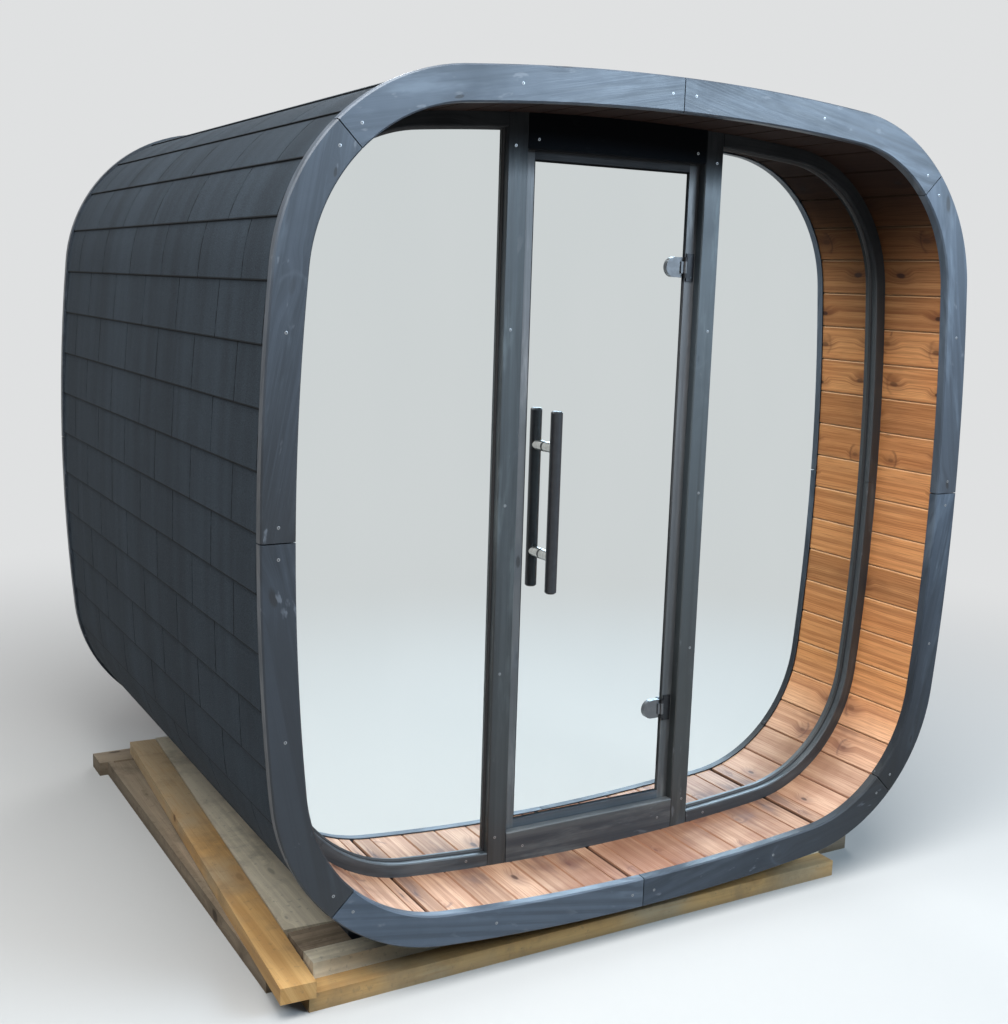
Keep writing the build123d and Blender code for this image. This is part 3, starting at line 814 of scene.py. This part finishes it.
liningCurve, liningRun = outlineCurve("liningCurve", tube["lining"])
boardPitch = liningRun / boardLook["boards"]
halfBoard = (boardPitch - boardLook["gap"]) / 2
tubeLength = tube["back"] - tube["front"] - 2 * tube["fascia"]
blank = boardBlank(boardPitch, tubeLength)
wallJoints = list(range(floorJoints[-1], floorJoints[0] + boardLook["boards"] + 1))
wallNodes = ["wall_left", "wall_right", "roof", "corner_top_left", "corner_top_right"]
wallNodes += ["corner_bottom_left", "corner_bottom_right"]
for name, joints, seed, slot, nodes in (
    ("wallLining", wallJoints, boardLook["wallSeed"], "lining_wood", wallNodes),
    ("floorLining", floorJoints, boardLook["floorSeed"], "floor_wood", ["floor"]),
):
    places = boardSpots(name + "Places", joints, boardPitch)
    liningValues = {
        "Outline": liningCurve,
        "Places": places,
        "Board": blank,
        "Run": liningRun,
        "Seed": seed,
        "Material": oiledBoards(name, halfBoard, boardLook["ease"]),
    }
    lining = runTree(name, boardTree, liningValues)
    bpy.data.objects.remove(places)
    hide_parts(*nodes)
    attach(lining, "cabin")

# Shingle tabs in courses, half a tab out of step from course to course. A tab cut to a sliver is left out.
tabLook = {
    "thick": 0.0052,
    "thin": 0.0014,
    "columns": 7,
    "firstEdge": 0.017,
    "coursesBelow": 10,
    "layout": {
        "Courses": 25,
        "Tabs": 9,
        "Course Height": 0.1464,
        "Tab Width": 0.347,
        "Stagger": 0.170,
        "Offset": 0.200,
        "Slot": 0.0030,
        "Sliver": 0.004,
        "Seed": 5,
    },
}


# A flat shingle with a sloping top. Each row has two points: x, y, height and place on the UV map.
def shingleBlank(name, rows):
    verts, uvs, faces = [], [], []
    for row in rows:
        for x, y, top, spot in row:
            verts += [(x, y, 0.0), (x, y, top)]
            uvs += [spot, spot]
    last = len(verts) - 4
    for a in range(0, last, 4):
        faces += [(a + 1, a + 5, a + 7, a + 3), (a, a + 2, a + 6, a + 4)]
        faces += [(a, a + 4, a + 5, a + 1), (a + 2, a + 3, a + 7, a + 6)]
    faces += [(0, 1, 3, 2), (last, last + 2, last + 3, last + 1)]
    return meshObject(name, verts, faces, uvs)


# A unit tab: x up the course, y across. Its lower edge is thicker than its upper one.
def tabBlank():
    look = tabLook
    rows = []
    for k in range(look["columns"] + 1):
        x = k / look["columns"] - 0.5
        top = look["thick"] + (look["thin"] - look["thick"]) * k / look["columns"]
        rows.append([(x, y, top, (x, y)) for y in (-0.5, 0.5)])
    return shingleBlank("tabBlank", rows)


def shingleTree(values):
    net, given = geometryTree("shingleTree", values)
    line = net.add("GeometryNodeMeshLine", {}, {"Count": given["Courses"] * given["Tabs"]})
    index = net.add("GeometryNodeInputIndex")
    course = ((index + 0.5) / given["Tabs"]).floor()
    column = index - course * given["Tabs"]
    odd = course - 2.0 * ((course + 0.5) / 2.0).floor()
    start = given["Front"] + given["Offset"] + (column - 2.0) * given["Tab Width"] + odd * given["Stagger"]
    low = net.maths("MAXIMUM", start + given["Slot"] / 2.0, given["Front"])
    high = net.maths("MINIMUM", start + given["Tab Width"] - given["Slot"] / 2.0, given["Back"])
    x = given["First Edge"] + (course + 0.5) * given["Course Height"]
    size = net.vector(given["Course Height"], high - low, 1.0)
    toned = net.store(net.store(line, "size", size, "FLOAT_VECTOR"), "tone", net.random(given["Seed"]))
    points = net.move(toned, net.vector(x, (low + high) / 2.0, 0.0))
    stored = net.stored("size")
    sockets = {"Geometry": points, "Selection": net.split(stored)[1] < given["Sliver"]}
    kept = net.add("GeometryNodeDeleteGeometry", {"domain": "POINT"}, sockets)
    return finishTree(net, net.copies(kept, given["Tab"], Scale=stored), given)


shingle = mineralShingle()
deckCurve, deckRun = outlineCurve("deckCurve", tube["deck"])
tab = tabBlank()
firstEdge = tabLook["firstEdge"] - tabLook["coursesBelow"] * tabLook["layout"]["Course Height"]
shingleValues = {
    **tabLook["layout"],
    "Outline": deckCurve,
    "Tab": tab,
    "Run": deckRun,
    "First Edge": firstEdge,
    "Front": tube["front"] + tube["fascia"],
    "Back": tube["back"] - tube["fascia"],
    "Material": shingle,
}
shingles = runTree("shingleTabs", shingleTree, shingleValues, 25)


# Adds the left half, and cuts both at the ridge
def mirrorHalf(piece):
    shell = bmesh.new()
    shell.from_mesh(piece.data)
    cut = [*shell.verts, *shell.edges, *shell.faces]
    bmesh.ops.bisect_plane(shell, geom=cut, plane_co=(0, 0, 0), plane_no=(-1, 0, 0), clear_outer=True)
    copies = bmesh.ops.duplicate(shell, geom=[*shell.verts, *shell.edges, *shell.faces])["geom"]
    verts = [g for g in copies if isinstance(g, bmesh.types.BMVert)]
    faces = [g for g in copies if isinstance(g, bmesh.types.BMFace)]
    for v in verts:
        v.co.x = -v.co.x
    bmesh.ops.reverse_faces(shell, faces=faces)
    shell.to_mesh(piece.data)
    shell.free()


mirrorHalf(shingles)
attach(shingles, "cabin")

# Ridge caps: bent shingles along the top, each a little longer than its share of the ridge
capLook = {
    "half": 0.125,
    "length": 0.145,
    "thick": 0.0046,
    "thin": 0.0022,
    "columns": 10,
    "layout": {"Count": 15, "Lift": 0.0040, "Seed": 3},
}


def capBlank():
    look = capLook
    rows = []
    for k in range(look["columns"] + 1):
        x = look["half"] * (2 * k / look["columns"] - 1)
        ends = ((-0.5, look["thick"]), (0.5, look["thin"]))
        rows.append([(x, look["length"] * end, top, (end, x)) for end, top in ends])
    return shingleBlank("capBlank", rows)


def capTree(values):
    net, given = geometryTree("capTree", values)
    line = net.add("GeometryNodeMeshLine", {}, {"Count": given["Count"]})
    y = given["Front"] + (net.add("GeometryNodeInputIndex") + 0.5) * given["Step"]
    placed = net.copies(net.move(line, net.vector(given["Run"] / 4.0, y, given["Lift"])), given["Cap"])
    return finishTree(net, net.store(placed, "tone", net.random(given["Seed"]), domain="INSTANCE"), given)


cap = capBlank()
capValues = {
    **capLook["layout"],
    "Outline": deckCurve,
    "Cap": cap,
    "Run": deckRun,
    "Step": tubeLength / capLook["layout"]["Count"],
    "Front": tube["front"] + tube["fascia"],
    "Material": shingle,
}
ridgeCaps = runTree("ridgeCaps", capTree, capValues, 25)
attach(ridgeCaps, "cabin")

# Glazing seals: a rounded strip on the glass, along the ring and the posts
sealLook = {
    "inset": 0.122,
    "glassFront": nodeBox("glass_panel_left")[0][1],
    "wide": 0.007,
    "proud": 0.006,
    "arcSteps": 4,
    "left": nodeBox("post_left")[0][0],
    "right": nodeBox("post_right")[1][0],
    "stations": 160,
    "black": (0.005, 0.005, 0.006),
    "dusty": (0.018, 0.019, 0.021),
}


# A section swept through stations, as an open strip with two ends or as a loop
def sweepStrip(name, stations, section, loop=False):
    count = len(section)
    verts, faces = [], []
    for place, inward, forward in stations:
        verts += [place + inward * a + forward * b for a, b in section]
    total = len(verts)
    for row in range(len(stations) - (0 if loop else 1)):
        for k in range(count):
            a, b = row * count + k, row * count + (k + 1) % count
            faces.append((a, b, (b + count) % total, (a + count) % total))
    if not loop:
        faces.append(tuple(range(count)))
        faces.append(tuple(range(total - count, total))[::-1])
    piece = meshObject(name, verts, faces)
    faceOutward(piece)
    piece.data.polygons.foreach_set("use_smooth", [True] * len(faces))
    piece.data.set_sharp_from_angle(angle=math.radians(40))
    return piece


# Where along the outline the ring's seal meets the one beside a post, found by halving
def runWhere(side, limit):
    run = outlineRun(sealLook["inset"])
    low, high = 0.0, run / 4
    for k in range(40):
        middle = (low + high) / 2
        x = outlineAt(middle, sealLook["inset"])[0].x
        low, high = (middle, high) if x > abs(limit) else (low, middle)
    return low if side > 0 else run / 2 - low


# Seal stations on the right (side 1) or the left (side -1): round the ring, then up beside the post
def sealStations(side):
    look = sealLook
    forward = Vector((0, -1, 0))
    x = look["right"] if side > 0 else look["left"]
    edge = runWhere(side, x)
    start, stop = (-edge, edge) if side > 0 else (edge, outlineRun(look["inset"]) - edge)
    ring = []
    for k in range(look["stations"] + 1):
        point, normal = outlineAt(start + (stop - start) * k / look["stations"], look["inset"])
        point.y = look["glassFront"]
        ring.append((point, -normal, forward))
    top = outlineAt(edge, look["inset"])[0].z
    heights = (2 * tube["centre"].z - top, top)
    upright = [(Vector((x, look["glassFront"], z)), Vector((side, 0, 0)), forward) for z in heights]
    return {"sealRing": ring, "sealUpright": upright}


# A sheet of dark felt under the shingles shows in the slots between them
feltLook = {"inset": 0.0114, "thick": 0.0004, "stations": 480, "clear": 0.0005}


def feltSheet():
    look = feltLook
    run = outlineRun(look["inset"])
    stations = []
    for k in range(look["stations"]):
        point, normal = outlineAt(run * k / look["stations"], look["inset"])
        stations.append((point, -normal, Vector((0, 1, 0))))
    half = tubeLength / 2 - look["clear"]
    section = [(0.0, -half), (0.0, half), (look["thick"], half), (look["thick"], -half)]
    return sweepStrip("feltSheet", stations, section, loop=True)


felt = feltSheet()
felt.data.materials.append(shingle)
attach(felt, "cabin")

sealSection = [(0.0, 0.0), (sealLook["wide"], 0.0)]
for k in range(1, sealLook["arcSteps"] + 1):
    turn = math.pi / 2 * k / sealLook["arcSteps"]
    sealSection.append((sealLook["wide"] * math.cos(turn), sealLook["proud"] * math.sin(turn)))
rubber = rubberSeal()
for side, word in ((1, "Right"), (-1, "Left")):
    for kind, stations in sealStations(side).items():
        strip = sweepStrip(kind + word, stations, sealSection)
        strip.data.materials.append(rubber)
        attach(strip, "cabin")
print("stage: felt and seals made")

# Screws, each a domed head with a star recess, turned at random about its own axis. A ring of points is given
# by its share of the radius, its height over the board (or its depth, if below zero) and the star's wave.
screwLook = {
    "radius": 0.0042,
    "proud": 0.0003,
    "recess": 0.0018,
    "sides": 12,
    "rings": [(0.40, -0.4, 0.25), (0.46, 1.0, 0.25), (0.8, 0.85, 0.0), (1.0, 0.2, 0.0), (1.0, -0.9, 0.0)],
    "inset": 0.044,
    "fromEnd": 0.038,
    "kickBoard": [(-0.443, 0.217), (0.415, 0.210), (-0.255, 0.228), (0.234, 0.226)],
    "header": [(-0.279, 2.237), (0.255, 2.239)],
    "posts": (-0.350, 0.326),
    "postHeights": (0.272, 0.764, 1.248, 1.732, 2.216),
    "hinge": (0.272, -0.802),
    "hingeHeights": (1.886, 1.948, 0.542, 0.604),
    "seed": 8,
}


def screwBlank():
    look = screwLook
    rings = look["rings"]
    verts, faces = [(0.0, look["recess"] * 0.35, 0.0)], []
    for radius, height, wave in rings:
        for k in range(look["sides"]):
            angle = 2 * math.pi * k / look["sides"]
            wide = look["radius"] * radius * (1 + (wave if k % 2 else -wave))
            y = -look["proud"] * height if height > 0 else look["recess"] * -height * 0.5
            verts.append((wide * math.cos(angle), y, wide * math.sin(angle)))
    for k in range(look["sides"]):
        following = (k + 1) % look["sides"]
        faces.append((0, 1 + k, 1 + following))
        for ring in range(len(rings) - 1):
            a = 1 + ring * look["sides"]
            b = a + look["sides"]
            faces.append((a + k, b + k, b + following, a + following))
    last = 1 + (len(rings) - 1) * look["sides"]
    faces.append(tuple(range(last, last + look["sides"])))
    return meshObject("screwBlank", verts, faces)


def screwTree(values):
    net, given = geometryTree("screwTree", values)
    spin = net.random(given["Seed"], 0.0, 6.28)
    y = net.split(net.add("GeometryNodeInputPosition"))[1]
    turn = net.vector(0.0, spin, (y > 0.0) * math.pi)
    return finishTree(net, net.copies(net.shape(given["Places"]), given["Head"], Rotation=turn), given)


def fasciaScrews(face):
    look = screwLook
    run = sum(quarterRun(look["inset"])) / 2
    ends = (look["fromEnd"], run * 0.5, run - look["fromEnd"])
    points = [outlineAt(board * run + along, look["inset"])[0] for board in range(8) for along in ends]
    return [Vector((point.x, face, point.z)) for point in points]


frameFace = nodeBox("door_header")[0][1]
frameScrews = screwLook["kickBoard"] + screwLook["header"]
frameScrews += [(x, z) for x in screwLook["posts"] for z in screwLook["postHeights"]]
screwPlaces = fasciaScrews(tube["front"]) + fasciaScrews(tube["back"])
screwPlaces += [Vector((x, frameFace, z)) for x, z in frameScrews]
plateScrews = [Vector((*screwLook["hinge"], z)) for z in screwLook["hingeHeights"]]
head = screwBlank()
for name, spots, metal, slot in (
    ("steelScrews", screwPlaces, "screwSteel", "satin_metal"),
    ("hingeScrews", plateScrews, "darkSteel", "dark_metal"),
):
    places = meshObject(name + "Places", spots, [])
    screwValues = {"Places": places, "Head": head, "Seed": screwLook["seed"], "Material": coatedMetal(metal)}
    screws = runTree(name, screwTree, screwValues, 30)
    bpy.data.objects.remove(places)
    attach(screws, "cabin")

# Boards of the front ring, anticlockwise from the right: the grain's angle, how light each board is painted
# at its first and at its last end, as painted light and shade, and its sheen
fasciaBoards = {
    "right_upper": (101.0, (1.5, 3.6), 0.55),
    "top_right": (-11.0, (2.6, 2.2), 0.55),
    "top_left": (11.0, (2.5, 2.7), 0.55),
    "left_upper": (79.0, (2.1, 0.5), 0.55),
    "left_lower": (101.0, (1.1, 0.5), 0.55),
    "bottom_left": (-11.0, (3.1, 2.4), 0.55),
    "bottom_right": (11.0, (1.8, 0.3), 0.4),
    "right_lower": (79.0, (0.2, 2.4), 0.35),
}


# Scales a look's deep, worn and rubbed colours by one tone
def faded(look, tone):
    shades = {key: tuple(c * tone for c in look[key]) for key in ("deep", "worn", "rubbed")}
    return dict(look, **shades)


# Uprights: painted light by height, from the first tone low down to the second, lighter higher up, with
# painted roof shade at the top
def graded(look, low, *paintedLightTones):
    return dict(look, span=(low, 1.9), paintedRoofShade=(2.12, 2.24), paintedLightTones=paintedLightTones)


for k, (name, (angle, paintedLightTones, specular)) in enumerate(fasciaBoards.items()):
    start = math.radians(45 * k if k < 4 else 45 * k - 360)
    look = dict(stainLook, specular=specular, ringwise=True, span=(start, start + math.pi / 4))
    look["paintedLightTones"] = [(t, t, t) for t in paintedLightTones]
    give(stainedWood("stained_" + name, angle, (0.37 * k, 0.0, 0.21 * k), look), "front_fascia_" + name)

frameLook = dict(
    stainLook,
    deep=(0.010, 0.013, 0.016),
    worn=(0.025, 0.031, 0.037),
    rubbed=(0.05, 0.06, 0.068),
    scuff=(0.12, 0.13, 0.14),
    arcShare=0.12,
    roughness=0.34,
    specular=0.45,
    paintedRoofShade=(2.04, 2.20),
)
postLook = faded(dict(frameLook, specular=0.6), 2.1)
jambLook = faded(dict(frameLook, specular=0.65, roughness=0.28), 2.7)
leftLook = graded(postLook, 0.5, (0.62, 0.60, 0.53), (1.6, 1.6, 1.5))
# The right post is a lighter copy of the left one's look, as painted light
rightLook = graded(faded(postLook, 1.4), 0.6, (0.42, 0.40, 0.34), (1.4, 1.4, 1.32))
sideLook = graded(jambLook, 0.6, (1.6, 1.35, 1.15), (3.9, 3.1, 2.65))
# The header is a darker copy of the post look, as painted shade, with little sheen
headLook = dict(frameLook, specular=0.12, roughness=0.5)
kickLook = dict(postLook, worn=(0.086, 0.090, 0.088), rubbed=(0.158, 0.160, 0.152))
# The glass ring: as the posts, with its painted roof shade starting lower down
ringLook = dict(postLook, deep=(0.021, 0.026, 0.030), worn=(0.050, 0.059, 0.066), paintedRoofShade=(1.66, 2.08))
ringLook["rubbed"] = (0.100, 0.115, 0.124)
ringNodes = ["glass_frame_" + side + "_" + end for side in ("left", "right") for end in ("upper", "lower")]

# The other stained pieces: the grain's angle, where its pattern starts, the look, and the nodes
stainedPieces = {
    "stainedLeftPost": (90, (0.15, 0, 0), leftLook, ["post_left"]),
    "stainedRightPost": (90, (0.35, 0, 0), rightLook, ["post_right"]),
    "stainedJamb": (90, (0.45, 0, 0), sideLook, ["door_jambs"]),
    "stainedHeader": (0, (0.2, 0, 0.4), headLook, ["door_header"]),
    "stainedKick": (0, (0.6, 0, 0.1), kickLook, ["door_kick_board"]),
    "stainedSill": (0, (0.1, 0, 0.2), jambLook, ["door_head_and_sill"]),
    "stainedRing": (None, (0, 0, 0), ringLook, ringNodes),
    "stainedBack": (0, (0.3, 0, 0), stainLook, ["back_fascia"]),
    "stainedCradle": (0, (0.7, 0, 0), stainLook, ["base_cradles"]),
}
for name, (angle, place, look, nodes) in stainedPieces.items():
    give(stainedWood(name, angle, place, look), *nodes)

# Ground timbers: the node, its kind, and whether the grain runs along Y
groundTimbers = {
    "paleBeam": ("base_beam_front", "pale", False),
    "palePlank": ("base_plank_left", "pale", True),
    "greySleepers": ("base_sleepers_upper", "grey", True),
    "greyPlank": ("base_plank_front", "grey", False),
    "darkCross": ("base_cross_sleepers", "dark", False),
    "darkLong": ("base_timbers_left", "dark", True),
}
for name, (node, kind, alongY) in groundTimbers.items():
    give(groundTimber(name, kind, alongY), node)

give(coatedMetal("darkMetal"), "door_hinge_clamps")
give(coatedMetal("plateMetal"), "door_hinge_plates")
give(coatedMetal("barMetal"), "door_handle_bars")
give(sleeveMetal(), "door_handle_standoffs")
give(mirrorGlass(), "glass_panel_left", "glass_panel_right", "door_glass")
give(uprightBoards(), "back_wall")
give(shingle, "shingles_left", "shingles_right", "shingles_roof", "underlay_bottom")
for helper in (liningCurve, deckCurve, blank, tab, cap, head):
    bpy.data.objects.remove(helper)
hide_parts("shingles_left", "shingles_right", "shingles_roof")
print("stage: materials given")

# Floor, light and camera. Camera and mirror see a pale floor that fades into a pale world.
stageLook = {
    "side": 60.0,
    "seen": (0.53, 0.515, 0.49),
    "unseen": (0.06, 0.057, 0.05),
    "background": (0.74, 0.75, 0.755),
    "fill": (0.092, 0.118, 0.148),
    "fadeStart": 1.6,
    "fadeEnd": 5.2,
}


# Rays that show the stage itself, straight or by way of glass and metal
def plainRays(net):
    path = net.add("ShaderNodeLightPath")
    rays = [net.out(path, "Is " + word + " Ray") for word in ("Camera", "Glossy", "Transmission")]
    return (rays[0] + rays[1] + rays[2]).clamp() * (net.out(path, "Diffuse Depth") < 0.5)


def stageFloor():
    look = stageLook
    side = look["side"]
    corners = [(-side, -side, 0), (side, -side, 0), (side, side, 0), (-side, side, 0)]
    floor = meshObject("stageFloor", corners, [(0, 1, 2, 3)])
    net = Finish("paleFloor")
    plain = plainRays(net)
    net.set(colour=net.blend(plain, look["unseen"], look["seen"]), roughness=0.9, specular=0.0)
    x, y = net.split(net.place())[:2]
    far = net.maths("SQRT", x * x + y * y)
    fade = net.step(far, look["fadeStart"], look["fadeEnd"]) * plain
    glow = net.add("ShaderNodeEmission", {}, {"Color": (*look["background"], 1.0), "Strength": 1.0})
    lit = Wire(net, net.shader.outputs[0])
    mixed = net.add("ShaderNodeMixShader", {}, {0: fade, 1: lit, 2: glow})
    net.tree.links.new(mixed.socket, net.tree.nodes["Material Output"].inputs["Surface"])
    floor.data.materials.append(net.material)


def paleWorld():
    world = bpy.data.worlds.new("paleWorld")
    scene.world = world
    world.use_nodes = True
    net = NodeNet(world.node_tree)
    colour = net.blend(plainRays(net), stageLook["fill"], stageLook["background"])
    base = net.tree.nodes["Background"]
    net.tree.links.new(colour.socket, base.inputs["Color"])
    base.inputs["Strength"].default_value = 1.0


# Lamps: place, aim, size, power and colour
lamps = {
    "skyLamp": ((-1.2, -2.8, 6.8), (0.0, -0.4, 1.0), (5.0, 5.0), 590.0, (0.95, 0.975, 1.0)),
    "sheenLamp": ((3.9, -5.6, 4.0), (0.4, -1.0, 1.9), (4.6, 1.8), 400.0, (0.62, 0.81, 1.0)),
    "rearLamp": ((3.2, 5.6, 4.6), (0.2, 1.0, 1.0), (3.2, 3.2), 200.0, (0.93, 0.965, 1.0)),
    "sideLamp": ((-4.6, -2.6, 5.4), (-1.0, -0.5, 1.2), (3.0, 3.0), 190.0, (0.93, 0.965, 1.0)),
}


def areaLamp(name, place, aim, size, power, colour):
    lamp = bpy.data.lights.new(name, "AREA")
    lamp.shape = "ELLIPSE"
    lamp.size, lamp.size_y = size
    lamp.energy = power
    lamp.color = colour
    holder = bpy.data.objects.new(name, lamp)
    holder.location = place
    holder.rotation_euler = (Vector(aim) - Vector(place)).to_track_quat("-Z", "Y").to_euler()
    scene.collection.objects.link(holder)


# The camera of the photo, fitted to the outlines of the cabin
cameraLook = {
    "lens": 46.35,
    "sensor": 36.0,
    "place": (-2.1614, -3.9399, 1.8633),
    "turn": ((0.86705, 0.05997, -0.4946), (-0.49728, 0.16499, -0.85176), (0.03053, 0.98447, 0.17287)),
}


def photoCamera():
    look = cameraLook
    lens = bpy.data.cameras.new("photoCamera")
    lens.lens = look["lens"]
    lens.sensor_width = look["sensor"]
    holder = bpy.data.objects.new("photoCamera", lens)
    holder.matrix_world = Matrix.Translation(look["place"]) @ Matrix(look["turn"]).to_4x4()
    scene.collection.objects.link(holder)
    scene.camera = holder


stageFloor()
paleWorld()
for name, lamp in lamps.items():
    areaLamp(name, *lamp)
photoCamera()
print("stage: set and camera ready")
